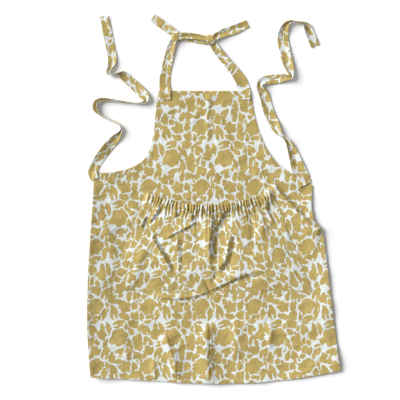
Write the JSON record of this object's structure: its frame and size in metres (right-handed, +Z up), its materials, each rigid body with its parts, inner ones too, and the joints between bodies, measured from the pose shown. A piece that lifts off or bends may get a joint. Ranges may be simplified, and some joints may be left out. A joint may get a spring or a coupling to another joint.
{
  "type": "bib apron",
  "caption": "Bib apron in printed cotton-linen with an elastic-gathered front pocket, neck ties knotted into a loop and two waist ties, lying flat.",
  "frame": {"origin": "on the table, under the middle of the whole object", "axes": "+Z up from the table, +Y towards the neck ties, +X to the viewer's right when the front is looked at"},
  "size_m": [0.7322, 1.0709, 0.0162],
  "materials": {
    "printed_cloth": "plain-woven cotton-linen with an ochre blockprint on off-white",
    "elastic": "woven elastic band",
    "thread": "matte sewing thread"
  },
  "bodies": {
    "apron": {"body_panel": "printed_cloth", "bib_facing": "printed_cloth", "left_armhole_hem": "printed_cloth", "right_armhole_hem": "printed_cloth", "left_side_hem": "printed_cloth", "right_side_hem": "printed_cloth", "bottom_hem": "printed_cloth", "pocket_left_edge": "printed_cloth", "pocket_right_edge": "printed_cloth", "pocket_bottom_edge": "printed_cloth", "left_neck_tie_end": "printed_cloth", "right_neck_tie_end": "printed_cloth", "left_waist_tie_end": "printed_cloth", "right_waist_tie_end": "printed_cloth", "edge_stitching": "thread", "pocket_bar_tacks": "thread", "tie_stitching": "thread"},
    "pocket": {"pocket_panel": "printed_cloth", "pocket_mouth_casing": "printed_cloth", "pocket_elastic": "elastic", "pocket_stitching": "thread"},
    "neck_loop": {"left_neck_tie": "printed_cloth", "right_neck_tie": "printed_cloth"},
    "left_tie": {"left_waist_tie": "printed_cloth"},
    "right_tie": {"right_waist_tie": "printed_cloth"}
  },
  "joints": [
    {"name": "neck_loop_fold", "type": "hinge", "parent": "apron", "child": "neck_loop", "pos_m": [0, 0.31349, 0.0037], "axis": [1, 0, 0], "range_deg": [0, 165]},
    {"name": "left_tie_fold", "type": "hinge", "parent": "apron", "child": "left_tie", "pos_m": [-0.35315, 0.08259, 0.0037], "axis": [0.8805, -0.4741, 0], "range_deg": [0, 150]},
    {"name": "right_tie_fold", "type": "hinge", "parent": "apron", "child": "right_tie", "pos_m": [0.25035, 0.07459, 0.0037], "axis": [0.9167, 0.3995, 0], "range_deg": [0, 150]},
    {"name": "pocket_open", "type": "hinge", "parent": "apron", "child": "pocket", "pos_m": [0, -0.26691, 0.0021], "axis": [1, 0, 0], "range_deg": [0, 12]}
  ]
}
